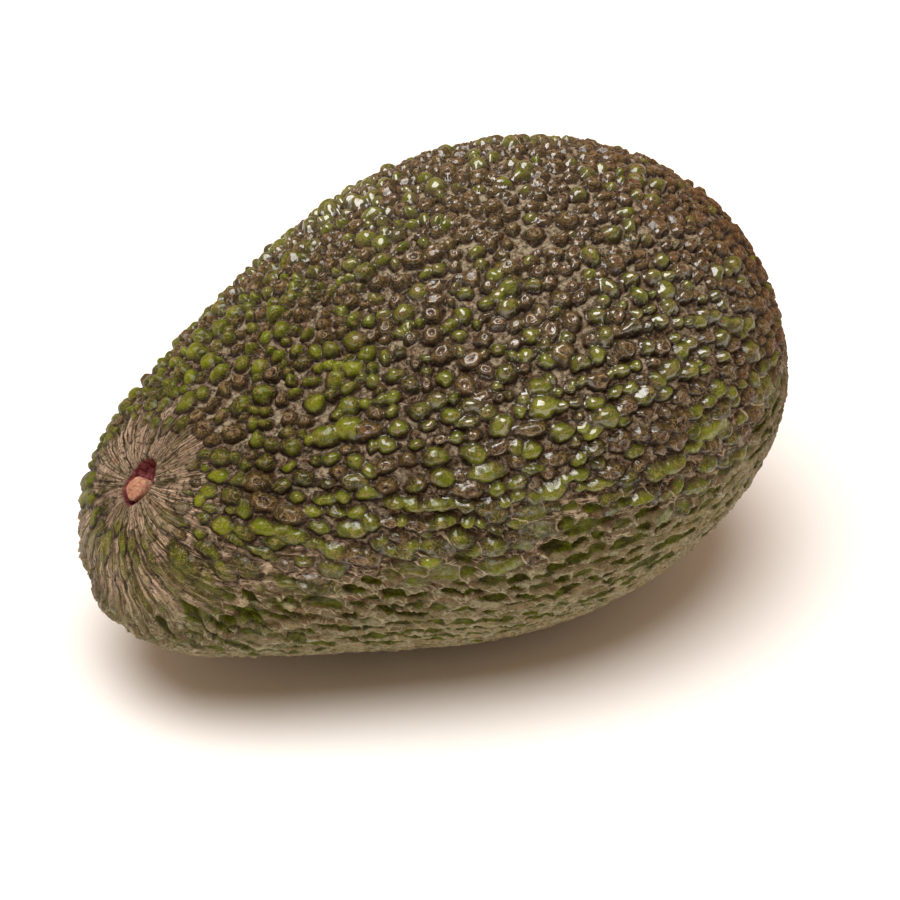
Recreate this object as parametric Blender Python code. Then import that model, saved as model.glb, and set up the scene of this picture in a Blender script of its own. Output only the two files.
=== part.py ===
"""An avocado with a pebbled skin, lying on its side as picked.

Units are metres and +Z is up. The stem end points towards -X. The origin is the
centre of the small flat spot that the fruit rests on. The fruit is one closed solid
with its pebbles raised from it by a formula, and the torn stem stub in its pit is
a second one.
"""
import math

import bmesh
import bpy
import numpy as np
from mathutils import Matrix, Vector
from mathutils.geometry import delaunay_2d_cdt

# Body: a pear-like profile turned about X, wider than it is high, with a drooping neck
LENGTH = 0.1042
HALF_WIDTH = 0.0360
HEIGHT_TO_WIDTH = 0.89
SWELL = (0.293, -0.165, -0.110, 0.310, -0.027)
NECK_DROP = 0.0077
LEAN = math.radians(3.0)
HEART_HEIGHT = 0.031

# Flat spot under the weight, and how far the skin beside it stays off the floor
REST_HALF_LENGTH = 0.0085
REST_HALF_WIDTH = 0.0065
REST_DEPTH = 0.0004
REST_RINGS = ((0.5, 8), (1.0, 16))
FLOOR_CLEARANCE = 0.00015

# Pebbles: spacing, the rise of their tips over the body and the dip between them
SEED = 7
CANDIDATES = 42000
PEBBLE_SPACING = 0.00285
SPACING_SPREAD = (0.92, 1.1)
PEBBLE_RISE = 0.00065
VALLEY_DIP = 0.00065
PEBBLE_VARIATION = 0.00025
UNDERSIDE_FLATTENING = 0.45
UNDERSIDE_SLOPES = (0.1, 0.9)

# Stem pit: an oval hollow on the upper side of the neck end, in a puckered dimple
PIT_DIRECTION = Vector((-0.9925, -0.0414, 0.1148))
PIT_HALF_WIDTH = 0.0024
PIT_HALF_HEIGHT = 0.0036
PIT_FLOOR_SCALE = 0.85
PIT_DEPTH = 0.0030
PIT_SIDES = 12
RING_START_DEPTH = 0.0108
FOLD_SCALE = 1.75
FOLD_RISE = 0.0003
DIMPLE_RADIUS = 0.0095
DIMPLE_DEPTH = 0.0009
CALM_REACH = (0.0033, 0.0152)
CALM_RELIEF = 0.35

# Torn stem stub, standing on the lower half of the pit's floor
STUB_RADIUS = 0.00145
STUB_HEIGHT = 0.0021
STUB_OFFSET = 0.00105
STUB_SIDES = 12
STUB_LEVELS = ((0.0, 0.92), (0.35, 1.0), (0.8, 0.96), (1.0, 0.78))
STUB_ROUGHNESS = 0.0002
PIECE_GAP = 0.0003

# Blossom end: a small scar, raised like a button in a shallow ring
SCAR_DIRECTION = Vector((0.990, -0.020, 0.120))
SCAR_RADIUS = 0.0014
SCAR_RISE = 0.0005
SCAR_RING_SCALE = 2.0
SCAR_SIDES = 8

# Skin and stub materials: colour, roughness and metallic value
SKIN_MATERIAL = ("avocado_skin", (0.052, 0.070, 0.020), 0.42, 0.0)
STUB_MATERIAL = ("torn_stem", (0.560, 0.300, 0.180), 0.85, 0.0)

HALF_LENGTH = LENGTH / 2
SURFACE_SEARCH_STEPS = 44
NORMAL_STEP = 1e-5


def clear_scene():
    """Remove the objects of the open scene."""
    for old in list(bpy.data.objects):
        bpy.data.objects.remove(old, do_unlink=True)


def smooth_ramp(low, high, value):
    """Rise smoothly from 0 at low to 1 at high."""
    share = np.clip((value - low) / (high - low), 0.0, 1.0)
    return share * share * (3.0 - 2.0 * share)


def plain_profile(u):
    """Radius of the turned body at u, from -1 at the stem end to 1, before scaling."""
    swell = sum(factor * u ** (power + 1) for power, factor in enumerate(SWELL))
    return np.sqrt(np.clip(1.0 - u * u, 0.0, None)) * (1.0 + swell)


PROFILE_SCALE = HALF_WIDTH / plain_profile(np.linspace(-1.0, 1.0, 2001)).max()


def profile_radius(u):
    """Half width of the body at u."""
    return PROFILE_SCALE * plain_profile(u)


def neck_drop(u):
    """How far the middle of the body droops at u, most at the stem end."""
    return NECK_DROP * ((1.0 - u) / 2.0) ** 2


def lean_points(points, angle):
    """Turn points about the Y axis."""
    x, y, z = np.moveaxis(np.asarray(points), -1, 0)
    turned_x = x * math.cos(angle) - z * math.sin(angle)
    turned_z = x * math.sin(angle) + z * math.cos(angle)
    return np.stack([turned_x, y, turned_z], axis=-1)


def find_body_origin():
    """Place of the profile's middle when the flat spot's centre is the origin."""
    u = np.linspace(-1.0, 1.0, 4001)
    belly_z = -HEIGHT_TO_WIDTH * profile_radius(u) - neck_drop(u)
    belly = lean_points(np.stack([HALF_LENGTH * u, 0.0 * u, belly_z], axis=-1), LEAN)
    lowest = belly[belly[:, 2].argmin()]
    return np.array([-lowest[0], 0.0, -lowest[2] - REST_DEPTH])


BODY_ORIGIN = find_body_origin()
HEART = np.array([BODY_ORIGIN[0], 0.0, HEART_HEIGHT])


def body_excess(points):
    """Distance of points outside the smooth body, roughly; negative inside it."""
    x, y, z = np.moveaxis(lean_points(points - BODY_ORIGIN, -LEAN), -1, 0)
    u = np.clip(x / HALF_LENGTH, -1.0, 1.0)
    across = np.hypot(y, (z + neck_drop(u)) / HEIGHT_TO_WIDTH)
    return across - profile_radius(u) + np.abs(x - HALF_LENGTH * u)


def surface_along(directions, start=HEART):
    """Points where rays from start leave the smooth body."""
    directions = np.asarray(directions, dtype=float)
    low = np.zeros(directions.shape[:-1])
    high = np.full(directions.shape[:-1], LENGTH)
    for _ in range(SURFACE_SEARCH_STEPS):
        middle = (low + high) / 2.0
        inside = body_excess(start + middle[..., None] * directions) < 0.0
        low = np.where(inside, middle, low)
        high = np.where(inside, high, middle)
    return start + low[..., None] * directions


def surface_normals(points):
    """Outward unit normals of the smooth body."""
    steps = np.eye(3) * NORMAL_STEP
    slopes = [body_excess(points + step) - body_excess(points - step) for step in steps]
    normals = np.stack(slopes, axis=-1)
    return normals / np.linalg.norm(normals, axis=-1, keepdims=True)


def unit_rows(vectors):
    """Vectors scaled to length 1."""
    return vectors / np.linalg.norm(vectors, axis=-1, keepdims=True)


def local_frame(direction):
    """Place, side axis, uphill axis and normal on the body where direction meets it."""
    place = surface_along(np.array(direction.normalized()))
    normal = surface_normals(place[None])[0]
    uphill = np.array([0.0, 0.0, 1.0]) - normal * normal[2]
    uphill /= np.linalg.norm(uphill)
    return place, np.cross(uphill, normal), uphill, normal


PIT_PLACE, PIT_SIDE, PIT_UPHILL, PIT_NORMAL = local_frame(PIT_DIRECTION)
SCAR_PLACE, SCAR_SIDE, SCAR_UPHILL, SCAR_NORMAL = local_frame(SCAR_DIRECTION)


def oval_ring(place, side, uphill, normal, half_width, half_height, sides):
    """Points of an oval round place, dropped onto the smooth body."""
    angles = np.arange(sides) * 2.0 * math.pi / sides
    flat = place + np.outer(np.cos(angles) * half_width, side)
    flat = flat + np.outer(np.sin(angles) * half_height, uphill)
    towards_body = np.broadcast_to(normal, flat.shape)
    return surface_along(towards_body, flat - RING_START_DEPTH * normal)


def dimple(points):
    """How far the skin is drawn in round the stem pit."""
    reach = np.linalg.norm(points - PIT_PLACE, axis=-1)
    return DIMPLE_DEPTH * (1.0 - smooth_ramp(0.0, DIMPLE_RADIUS, reach))


def pit_points():
    """The pit's middle, floor, rim and the puckered folds round it."""
    frame = (PIT_PLACE, PIT_SIDE, PIT_UPHILL, PIT_NORMAL)
    rim = oval_ring(*frame, PIT_HALF_WIDTH, PIT_HALF_HEIGHT, PIT_SIDES)
    folds = oval_ring(*frame, FOLD_SCALE * PIT_HALF_WIDTH, FOLD_SCALE * PIT_HALF_HEIGHT,
                      2 * PIT_SIDES)
    rim = rim - np.outer(dimple(rim), PIT_NORMAL)
    floor_level = PIT_PLACE - PIT_NORMAL * (PIT_DEPTH + DIMPLE_DEPTH)
    spokes = rim - PIT_PLACE
    spokes = spokes - np.outer(spokes @ PIT_NORMAL, PIT_NORMAL)
    floor = floor_level + PIT_FLOOR_SCALE * spokes
    pucker = np.where(np.arange(2 * PIT_SIDES) % 2 == 0, FOLD_RISE, -FOLD_RISE)
    folds = folds + np.outer(pucker - dimple(folds), PIT_NORMAL)
    shaped = np.vstack([floor_level[None], floor, rim, folds])
    flat_floor = PIT_PLACE + PIT_FLOOR_SCALE * spokes
    laid_out = np.vstack([PIT_PLACE[None], flat_floor, rim, folds])
    return shaped, laid_out


def rest_points():
    """The flat spot's middle, an inner oval and its border, all at the floor."""
    rings = [np.zeros((1, 3))]
    for scale, sides in REST_RINGS:
        angles = np.arange(sides) * 2.0 * math.pi / sides
        oval = [np.cos(angles) * REST_HALF_LENGTH, np.sin(angles) * REST_HALF_WIDTH]
        rings.append(np.stack([scale * oval[0], scale * oval[1], 0.0 * angles], axis=-1))
    points = np.vstack(rings)
    return points, points


def scar_points():
    """The blossom scar's button and the shallow ring round it."""
    frame = (SCAR_PLACE, SCAR_SIDE, SCAR_UPHILL, SCAR_NORMAL)
    button = oval_ring(*frame, SCAR_RADIUS, SCAR_RADIUS, SCAR_SIDES)
    wide = SCAR_RADIUS * SCAR_RING_SCALE
    ring = oval_ring(*frame, wide, wide, SCAR_SIDES)
    shaped = np.vstack([button + SCAR_RISE * SCAR_NORMAL, ring - VALLEY_DIP * SCAR_NORMAL])
    middle = SCAR_PLACE[None] + SCAR_RISE * SCAR_NORMAL
    return np.vstack([middle, shaped]), np.vstack([SCAR_PLACE[None], button, ring])


def scatter_pebbles(rng, taken):
    """Pebble centres at random on the body, each clear of the others and of taken."""
    directions = unit_rows(rng.normal(size=(CANDIDATES, 3)))
    candidates = surface_along(directions)
    spacing = PEBBLE_SPACING * rng.uniform(*SPACING_SPREAD, CANDIDATES)
    kept = np.empty((CANDIDATES + len(taken), 3))
    kept[:len(taken)] = taken
    count = len(taken)
    for point, clear in zip(candidates, spacing):
        offsets = kept[:count] - point
        if np.einsum("ij,ij->i", offsets, offsets).min() > clear * clear:
            kept[count] = point
            count += 1
    return kept[len(taken):count]


def relief_share(points, normals):
    """Full relief on top, flatter on the underside and round the stem pit."""
    under = smooth_ramp(*UNDERSIDE_SLOPES, -normals[:, 2])
    reach = np.linalg.norm(points - PIT_PLACE, axis=-1)
    away = smooth_ramp(*CALM_REACH, reach)
    return (1.0 - UNDERSIDE_FLATTENING * under) * (CALM_RELIEF + (1.0 - CALM_RELIEF) * away)


def shift_skin(points, amounts):
    """Move skin points along the normal, drawn in at the dimple, clear of the floor."""
    normals = surface_normals(points)
    shaped = points + (amounts * relief_share(points, normals))[:, None] * normals
    shaped = shaped - np.outer(dimple(points), PIT_NORMAL)
    shaped[:, 2] = np.maximum(shaped[:, 2], FLOOR_CLEARANCE)
    return shaped


def spread_on_plane(points, pole):
    """Stereographic map of the directions from the heart, with pole at infinity."""
    directions = unit_rows(points - HEART)
    axis = unit_rows(pole - HEART)
    first = unit_rows(np.cross(axis, [0.0, 1.0, 0.0]))
    second = np.cross(axis, first)
    away = 1.0 - directions @ axis
    return np.stack([directions @ first / away, directions @ second / away], axis=-1)


def triangulate(points, pole_index):
    """Closed Delaunay triangulation of points round the heart."""
    others = [index for index in range(len(points)) if index != pole_index]
    flat = spread_on_plane(points[others], points[pole_index])
    result = delaunay_2d_cdt([Vector(place) for place in flat], [], [], 0, 1e-9)
    source = [others[origins[0]] for origins in result[3]]
    triangles = [tuple(source[corner] for corner in face) for face in result[2]]
    directed = {(a, b) for face in triangles for a, b in zip(face, face[1:] + face[:1])}
    outline = [edge for edge in directed if edge[::-1] not in directed]
    return triangles + [(b, a, pole_index) for a, b in sorted(outline)]


def pebbled_faces(triangles, valley_of):
    """Faces with each triangle's valley point joined to its corners and neighbours."""
    faces = [face for face in triangles if face not in valley_of]
    beside = {}
    for face in triangles:
        for edge in zip(face, face[1:] + face[:1]):
            beside[edge] = face
    for (a, b), face in beside.items():
        across = beside[(b, a)]
        here = valley_of.get(face)
        there = valley_of.get(across)
        if here is not None and there is not None:
            faces.append((a, there, here))
        elif here is not None:
            faces.append((a, b, here))
    return faces


def mesh_object(name, points, faces, material_values):
    """A smooth-shaded object with outward faces and its own material."""
    mesh = bpy.data.meshes.new(name)
    mesh.from_pydata([tuple(point) for point in points], [], faces)
    shape = bmesh.new()
    shape.from_mesh(mesh)
    bmesh.ops.recalc_face_normals(shape, faces=shape.faces)
    shape.to_mesh(mesh)
    shape.free()
    mesh.shade_smooth()
    mesh.materials.append(make_material(*material_values))
    piece = bpy.data.objects.new(name, mesh)
    bpy.context.scene.collection.objects.link(piece)
    return piece


def make_material(name, colour, roughness, metallic):
    """A plain Principled BSDF material."""
    material = bpy.data.materials.new(name)
    material.use_nodes = True
    shader = material.node_tree.nodes["Principled BSDF"]
    shader.inputs["Base Color"].default_value = (*colour, 1.0)
    shader.inputs["Roughness"].default_value = roughness
    shader.inputs["Metallic"].default_value = metallic
    return material


def build_fruit(rng):
    """The whole fruit: pit, flat spot, scar and pebbles in one closed skin."""
    shaped_groups, laid_groups = zip(pit_points(), rest_points(), scar_points())
    group = np.repeat(np.arange(len(shaped_groups)), [len(part) for part in shaped_groups])
    fixed_shaped = np.vstack(shaped_groups)
    fixed_laid = np.vstack(laid_groups)
    pole_index = len(shaped_groups[0]) + len(shaped_groups[1])
    pebbles = scatter_pebbles(rng, fixed_laid)
    rises = PEBBLE_RISE + PEBBLE_VARIATION * rng.uniform(-1.0, 1.0, len(pebbles))
    laid_out = np.vstack([fixed_laid, pebbles])
    shaped = np.vstack([fixed_shaped, shift_skin(pebbles, rises)])
    triangles = triangulate(laid_out, pole_index)

    fixed_count = len(fixed_laid)
    valley_of = {}
    middles = []
    for face in triangles:
        fixed = [corner for corner in face if corner < fixed_count]
        if len(fixed) == 3 and len({group[corner] for corner in fixed}) == 1:
            continue
        valley_of[face] = len(laid_out) + len(middles)
        middles.append(laid_out[list(face)].mean(axis=0))
    directions = unit_rows(np.array(middles) - HEART)
    valleys = shift_skin(surface_along(directions), np.full(len(middles), -VALLEY_DIP))
    faces = pebbled_faces(triangles, valley_of)
    return mesh_object("fruit", np.vstack([shaped, valleys]), faces, SKIN_MATERIAL)


def build_stem_stub(rng):
    """A short torn plug of stem, turned in its own frame and set into the pit."""
    points = []
    for level, scale in STUB_LEVELS:
        for side in range(STUB_SIDES):
            angle = 2.0 * math.pi * side / STUB_SIDES
            tear = STUB_ROUGHNESS * rng.uniform(-1.0, 1.0) * level
            radius = STUB_RADIUS * scale + tear / 2.0
            height = STUB_HEIGHT * level + tear
            points.append((radius * math.cos(angle), radius * math.sin(angle), height))
    bottom = len(points)
    points.append((0.0, 0.0, 0.0))
    points.append((0.0, 0.0, STUB_HEIGHT - STUB_ROUGHNESS))
    faces = []
    last_ring = bottom - STUB_SIDES
    for side in range(STUB_SIDES):
        following = (side + 1) % STUB_SIDES
        for start in range(0, last_ring, STUB_SIDES):
            low = (start + side, start + following)
            high = (low[0] + STUB_SIDES, low[1] + STUB_SIDES)
            faces.append((low[0], low[1], high[1]))
            faces.append((low[0], high[1], high[0]))
        faces.append((following, side, bottom))
        faces.append((last_ring + side, last_ring + following, bottom + 1))
    stub = mesh_object("stem_stub", points, faces, STUB_MATERIAL)
    floor_depth = PIT_DEPTH + DIMPLE_DEPTH - PIECE_GAP
    foot = PIT_PLACE - floor_depth * PIT_NORMAL - STUB_OFFSET * PIT_UPHILL
    axes = Matrix((PIT_SIDE, PIT_UPHILL, PIT_NORMAL)).transposed()
    stub.matrix_world = Matrix.Translation(foot) @ axes.to_4x4()
    return stub


def main():
    clear_scene()
    rng = np.random.default_rng(SEED)
    build_fruit(rng)
    build_stem_stub(rng)


main()
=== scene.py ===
"""Looks of an avocado with a pebbled skin, lying on its side on a white table."""
import math

import bmesh
import bpy
import numpy as np
from mathutils import Matrix, Vector, kdtree, noise


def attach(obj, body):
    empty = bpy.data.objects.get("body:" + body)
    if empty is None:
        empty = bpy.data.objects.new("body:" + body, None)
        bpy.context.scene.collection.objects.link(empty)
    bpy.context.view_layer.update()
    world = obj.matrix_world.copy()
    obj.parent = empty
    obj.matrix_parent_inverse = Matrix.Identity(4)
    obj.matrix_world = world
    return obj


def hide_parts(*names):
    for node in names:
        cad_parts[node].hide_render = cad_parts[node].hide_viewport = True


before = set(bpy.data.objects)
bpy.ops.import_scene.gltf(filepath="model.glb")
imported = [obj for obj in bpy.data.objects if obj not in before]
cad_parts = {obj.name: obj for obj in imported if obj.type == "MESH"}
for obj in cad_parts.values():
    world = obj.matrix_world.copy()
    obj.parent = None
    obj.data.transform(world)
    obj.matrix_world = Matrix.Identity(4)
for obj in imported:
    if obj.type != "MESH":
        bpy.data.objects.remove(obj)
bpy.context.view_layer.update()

# The smooth body under the skin, as in the model: metres, stem end towards -X
LENGTH = 0.1042
HALF_WIDTH = 0.0360
HEIGHT_TO_WIDTH = 0.89
SWELL = (0.293, -0.165, -0.110, 0.310, -0.027)
NECK_DROP = 0.0077
LEAN = math.radians(3.0)
HEART_HEIGHT = 0.031
REST_DEPTH = 0.0004
PIT_DIRECTION = (-0.9925, -0.0414, 0.1148)
SCAR_DIRECTION = (0.990, -0.020, 0.120)

# Stem pit, an oval hollow in a puckered dimple, and the blossom scar
PIT_HALF_WIDTH = 0.0024
PIT_HALF_HEIGHT = 0.0036
PIT_DEPTH = 0.0028
DIMPLE_RADIUS = 0.0100
DIMPLE_DEPTH = 0.0009
SCAR_RADIUS = 0.0014
SCAR_RISE = 0.0004

# Skin grid: squares along X, Y and Z, and how much closer they lie round the pit
SKIN_SQUARES = (300, 250, 215)
GRID_STRETCH = (1.45, 1.0, 0.9)
PIT_CLOSENESS = 0.42
PIT_CLOSE_ANGLE = 0.55

# Pebbles: how far apart, how wide, how far from pit and scar, and how they blend and wander
SEED = 21
CANDIDATES = 70000
PEBBLE_SPACING = 0.00234
SMALLEST_PEBBLE = 0.58
PEBBLE_RANGE = 0.60
PEBBLE_FILL = 0.575
PIT_MARGIN = 1.55
SCAR_MARGIN = 1.6
NEAREST_PEBBLES = 6
UNION_POWER = 5.0
TAIL_LENGTH = 2.3
TAIL_WIDTH = 0.75
TAIL_HEIGHT = 0.42
WIDE_WANDER = 0.00056
WIDE_WANDER_SIZE = 0.0023
FINE_WANDER = 0.00022
FINE_WANDER_SIZE = 0.0009
FLOOR_CLEARANCE = 0.00008

# How much streaks and ridges are drawn out along the growth lines
GRAIN_STRETCH = 3.2

# Sizes of the wide patches and the blotches in which the skin's looks change
PATCH_SIZE = 0.016
BLOTCH_SIZE = 0.0075

# Camera: where it stands round the fruit, and the photo's frame
PHOTO_PIXELS = 900
CAMERA_AZIMUTH = math.radians(-29.42)
CAMERA_ELEVATION = math.radians(34.31)
CAMERA_ROLL = math.radians(0.45)
CAMERA_DISTANCE = 0.4772
CAMERA_SIDESTEP = 0.00294
CAMERA_LIFT = -0.00674
FOCAL_PIXELS = 3435.0
SENSOR_WIDTH = 36.0

# Light and table
LAMP_ELEVATION = math.radians(78.0)
LAMP_AZIMUTH = math.radians(213.0)
LAMP_DISTANCE = 1.0
LAMP_SIZE = 0.90
LAMP_POWER = 14.0
LAMP_COLOUR = (1.0, 0.985, 0.96)
ROOM_COLOUR = (0.47, 0.315, 0.215, 1.0)
TABLE_HALF = 1.6
TABLE_WHITE = (0.93, 0.93, 0.93, 1.0)
TABLE_SHADE = (0.945, 0.945, 0.945, 1.0)

HALF_LENGTH = LENGTH / 2
SURFACE_SEARCH_STEPS = 30
NORMAL_STEP = 1e-5


def smooth_ramp(low, high, value):
    """Rise smoothly from 0 at low to 1 at high."""
    share = np.clip((value - low) / (high - low), 0.0, 1.0)
    return share * share * (3.0 - 2.0 * share)


def plain_profile(u):
    """Radius of the turned body at u, from -1 at the stem end to 1, before scaling."""
    swell = sum(factor * u ** (power + 1) for power, factor in enumerate(SWELL))
    return np.sqrt(np.clip(1.0 - u * u, 0.0, None)) * (1.0 + swell)


PROFILE_SCALE = HALF_WIDTH / plain_profile(np.linspace(-1.0, 1.0, 2001)).max()


def profile_radius(u):
    """Half width of the body at u."""
    return PROFILE_SCALE * plain_profile(u)


def neck_drop(u):
    """How far the middle of the body droops at u, most at the stem end."""
    return NECK_DROP * ((1.0 - u) / 2.0) ** 2


def lean_points(points, angle):
    """Turn points about the Y axis."""
    x, y, z = np.moveaxis(np.asarray(points), -1, 0)
    turned_x = x * math.cos(angle) - z * math.sin(angle)
    turned_z = x * math.sin(angle) + z * math.cos(angle)
    return np.stack([turned_x, y, turned_z], axis=-1)


def find_body_origin():
    """Place of the profile's middle when the flat spot's centre is the origin."""
    u = np.linspace(-1.0, 1.0, 4001)
    belly_z = -HEIGHT_TO_WIDTH * profile_radius(u) - neck_drop(u)
    belly = lean_points(np.stack([HALF_LENGTH * u, 0.0 * u, belly_z], axis=-1), LEAN)
    lowest = belly[belly[:, 2].argmin()]
    return np.array([-lowest[0], 0.0, -lowest[2] - REST_DEPTH])


BODY_ORIGIN = find_body_origin()
HEART = np.array([BODY_ORIGIN[0], 0.0, HEART_HEIGHT])


def body_excess(points):
    """Distance of points outside the smooth body, roughly; negative inside it."""
    x, y, z = np.moveaxis(lean_points(points - BODY_ORIGIN, -LEAN), -1, 0)
    u = np.clip(x / HALF_LENGTH, -1.0, 1.0)
    across = np.hypot(y, (z + neck_drop(u)) / HEIGHT_TO_WIDTH)
    return across - profile_radius(u) + np.abs(x - HALF_LENGTH * u)


def unit_rows(vectors):
    """Vectors scaled to length 1."""
    return vectors / np.linalg.norm(vectors, axis=-1, keepdims=True)


def surface_along(directions):
    """Points where rays from the heart leave the smooth body."""
    low = np.zeros(directions.shape[:-1])
    high = np.full(directions.shape[:-1], LENGTH)
    for _ in range(SURFACE_SEARCH_STEPS):
        middle = (low + high) / 2.0
        inside = body_excess(HEART + middle[..., None] * directions) < 0.0
        low = np.where(inside, middle, low)
        high = np.where(inside, high, middle)
    return HEART + low[..., None] * directions


def surface_normals(points):
    """Outward unit normals of the smooth body."""
    steps = np.eye(3) * NORMAL_STEP
    slopes = [body_excess(points + step) - body_excess(points - step) for step in steps]
    return unit_rows(np.stack(slopes, axis=-1))


def local_frame(direction):
    """Place, side axis, uphill axis and normal on the body where direction meets it."""
    place = surface_along(unit_rows(np.array([direction])))
    normal = surface_normals(place)[0]
    uphill = unit_rows(np.array([0.0, 0.0, 1.0]) - normal * normal[2])
    return place[0], np.cross(uphill, normal), uphill, normal


PIT_PLACE, PIT_SIDE, PIT_UPHILL, PIT_NORMAL = local_frame(PIT_DIRECTION)
SCAR_PLACE, _, _, SCAR_NORMAL = local_frame(SCAR_DIRECTION)
GROWTH_AXIS = unit_rows(SCAR_PLACE - PIT_PLACE)


def flow_directions(points, normals):
    """Tangents along which the fruit grew, from the stem pit to the blossom scar."""
    from_pit = points - PIT_PLACE
    to_scar = SCAR_PLACE - points
    pull = from_pit / np.linalg.norm(from_pit, axis=-1, keepdims=True) ** 3
    pull = pull + to_scar / np.linalg.norm(to_scar, axis=-1, keepdims=True) ** 3
    pull = pull - normals * (pull * normals).sum(axis=-1, keepdims=True)
    return unit_rows(pull)


def noise_at(points, size, shift):
    """Smooth noise from about -1 to 1 with features of the given size in metres."""
    offset = np.array((shift, 2.0 * shift, 3.0 * shift))
    return np.array([noise.noise(place) for place in (points / size + offset).tolist()])


def drift_at(points, size, shift):
    """Smooth noise vectors, each axis from about -1 to 1, with features of the given size."""
    offset = np.array((shift, 3.0 * shift, 2.0 * shift))
    return np.array([noise.noise_vector(place)[:] for place in (points / size + offset).tolist()])


def grain_domain(points):
    """Coordinates stretched along the growth lines, for streaks and ridges."""
    offset = points - PIT_PLACE
    along = offset @ GROWTH_AXIS
    around = unit_rows(offset - along[:, None] * GROWTH_AXIS + 1e-9)
    return around * HALF_WIDTH + (along / GRAIN_STRETCH)[:, None] * GROWTH_AXIS


def pit_reach(points):
    """Distance from the pit's middle over the skin, in metres."""
    return np.linalg.norm(points - PIT_PLACE, axis=-1)


def skin_regions(points, normals):
    """Where each look of the skin lies, as shares from 0 to 1.

    They are the lens band, the pale underside, the dry top, the streaked collar round
    the pit, the long folds, the girth away from the growth axis, the blossom end and
    the upright side.
    """
    patches = noise_at(points, PATCH_SIZE, 3.1)
    blotches = noise_at(points, BLOTCH_SIZE, 8.7)
    up = normals[:, 2]
    along = (points[:, 0] - BODY_ORIGIN[0]) / HALF_LENGTH
    low = smooth_ramp(0.40, -0.32, up + 0.20 * patches + 0.16 * blotches - 0.10 * along)
    flat = smooth_ramp(0.02, -0.50, up - 0.32 * along + 0.16 * patches)
    dryness = 0.85 * (up - 0.60) + 0.26 * along + 0.40 * patches + 0.45 * blotches
    blossom = smooth_ramp(0.45, 0.95, along + 0.12 * patches)
    dryness = dryness + 0.60 * blossom
    dry = smooth_ramp(-0.30, 0.50, dryness)
    reach = pit_reach(points)
    collar = 1.0 - smooth_ramp(0.0040, 0.0145, reach + 0.006 * patches + 0.005 * blotches)
    folded = (1.0 - smooth_ramp(0.016, 0.044, reach)) * smooth_ramp(0.55, 0.05, up)
    folded = np.maximum(folded, 0.24 * low * (1.0 - flat) * smooth_ramp(-0.5, 0.5, blotches + 0.3))
    offset = points - PIT_PLACE
    girth = np.linalg.norm(offset - np.outer(offset @ GROWTH_AXIS, GROWTH_AXIS), axis=1)
    slender = smooth_ramp(0.009, 0.034, girth)
    return {"low": low, "flat": flat, "dry": dry, "collar": collar, "folded": folded,
            "girth": slender, "blossom": blossom, "side": smooth_ramp(0.66, 0.36, up)}


def scatter_pebbles(rng):
    """Pebbles at random, each clear of the others, with their axes, sizes and regions."""
    places = surface_along(unit_rows(rng.normal(size=(CANDIDATES, 3))))
    normals = surface_normals(places)
    flows = flow_directions(places, normals)
    regions = skin_regions(places, normals)
    sizes = SMALLEST_PEBBLE + PEBBLE_RANGE * rng.uniform(0.0, 1.0, CANDIDATES) ** 0.9
    sizes = sizes * (1.0 - 0.38 * regions["collar"])
    worms = smooth_ramp(0.80, 0.25, normals[:, 2]) * (1.0 - 0.5 * regions["dry"])
    longer = worms * rng.uniform(0.0, 1.35, CANDIDATES) ** 1.3
    longer = longer + 0.8 * regions["low"] + 0.5 * regions["collar"] + 0.9 * regions["folded"]
    spacing = PEBBLE_SPACING * sizes
    kept = np.empty((CANDIDATES, 3))
    kept_spacing = np.empty(CANDIDATES)
    chosen = []
    outside_pit = pit_reach(places) > PIT_MARGIN * PIT_HALF_HEIGHT
    outside_scar = np.linalg.norm(places - SCAR_PLACE, axis=1) > SCAR_MARGIN * SCAR_RADIUS
    for index in np.flatnonzero(outside_pit & outside_scar):
        offsets = kept[:len(chosen)] - places[index]
        along = offsets @ flows[index]
        reach = np.einsum("ij,ij->i", offsets, offsets)
        reach = reach - along * along * (1.0 - 1.0 / (1.0 + 0.45 * longer[index]) ** 2)
        clear = 0.5 * (spacing[index] + kept_spacing[:len(chosen)])
        if not len(chosen) or (reach - clear * clear).min() > 0.0:
            kept[len(chosen)] = places[index]
            kept_spacing[len(chosen)] = spacing[index]
            chosen.append(index)
    chosen = np.array(chosen)
    count = len(chosen)
    low, dry, collar, folded, blossom = (regions[name][chosen] for name in
                                         ("low", "dry", "collar", "folded", "blossom"))
    half_width = PEBBLE_FILL * spacing[chosen] * rng.uniform(0.84, 1.12, count)
    stretch = 1.0 + longer[chosen] + rng.uniform(-0.05, 0.30, count)
    tone = rng.uniform(0.0, 1.0, count)
    luck = rng.uniform(0.0, 1.0, count)
    height = (0.45 + 0.55 * spacing[chosen] / PEBBLE_SPACING) * rng.uniform(0.72, 1.0, count)
    height = height * (1.0 - 0.52 * collar) * (1.0 - 0.65 * folded) * (1.0 - 0.30 * blossom)
    height = np.where(luck < 0.62 * smooth_ramp(0.35, 1.0, collar), 0.0, height)
    sinking = smooth_ramp(0.30, 0.75, low + 0.35 * (luck - 0.5))
    return {
        "place": places[chosen],
        "normal": normals[chosen],
        "flow": flows[chosen],
        "half_width": half_width,
        "half_length": half_width * stretch,
        "height": height * (1.0 - sinking),
        "recess": sinking * rng.uniform(0.25, 1.0, count),
        "tone": tone,
        "dried": (tone < 0.06 + 0.66 * dry + 0.20 * blossom) * rng.uniform(0.35, 1.0, count),
        "crater": rng.uniform(0.30, 0.62, count),
    }


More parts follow.
